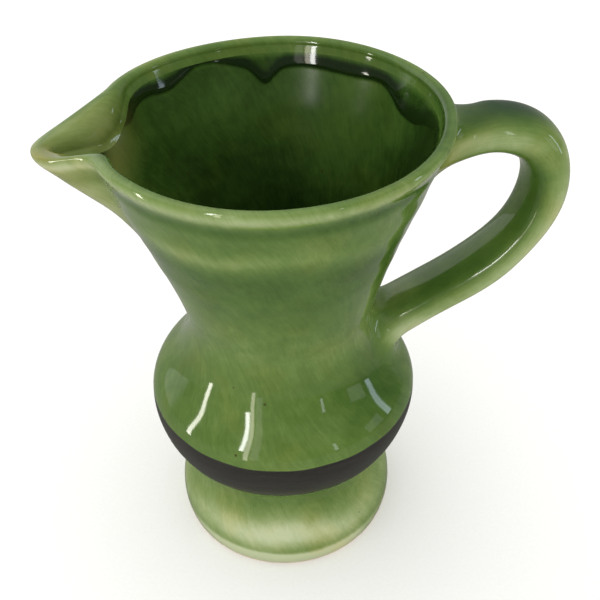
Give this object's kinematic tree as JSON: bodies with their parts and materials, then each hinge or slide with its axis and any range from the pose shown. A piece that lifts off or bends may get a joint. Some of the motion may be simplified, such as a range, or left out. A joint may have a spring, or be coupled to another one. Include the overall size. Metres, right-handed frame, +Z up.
{
  "type": "ceramic pitcher",
  "caption": "Glazed ceramic pitcher with a flared neck, a pulled pouring spout, a strap handle, a round belly with a matte dark band and a spreading foot.",
  "frame": {"origin": "centre of the foot's resting plane, on the axis of the round body", "axes": "+Z up along the axis of the round body, +X towards the handle, -X towards the spout; the XZ plane is the mirror plane"},
  "size_m": [0.1946, 0.1256, 0.2],
  "materials": {
    "fired_clay": "matte",
    "fired_slip": "matte",
    "green_glaze": "gloss",
    "foot_glaze": "gloss",
    "matte_black_coat": "satin",
    "liner_glaze": "gloss"
  },
  "bodies": {
    "root": {"clay_body": "fired_clay", "handle": "fired_clay", "upper_handle_joint": "fired_slip", "lower_handle_joint": "fired_slip", "outer_glaze": "green_glaze", "handle_glaze": "green_glaze", "foot_glaze": "foot_glaze", "black_band": "matte_black_coat", "inner_glaze": "liner_glaze"}
  },
  "joints": []
}
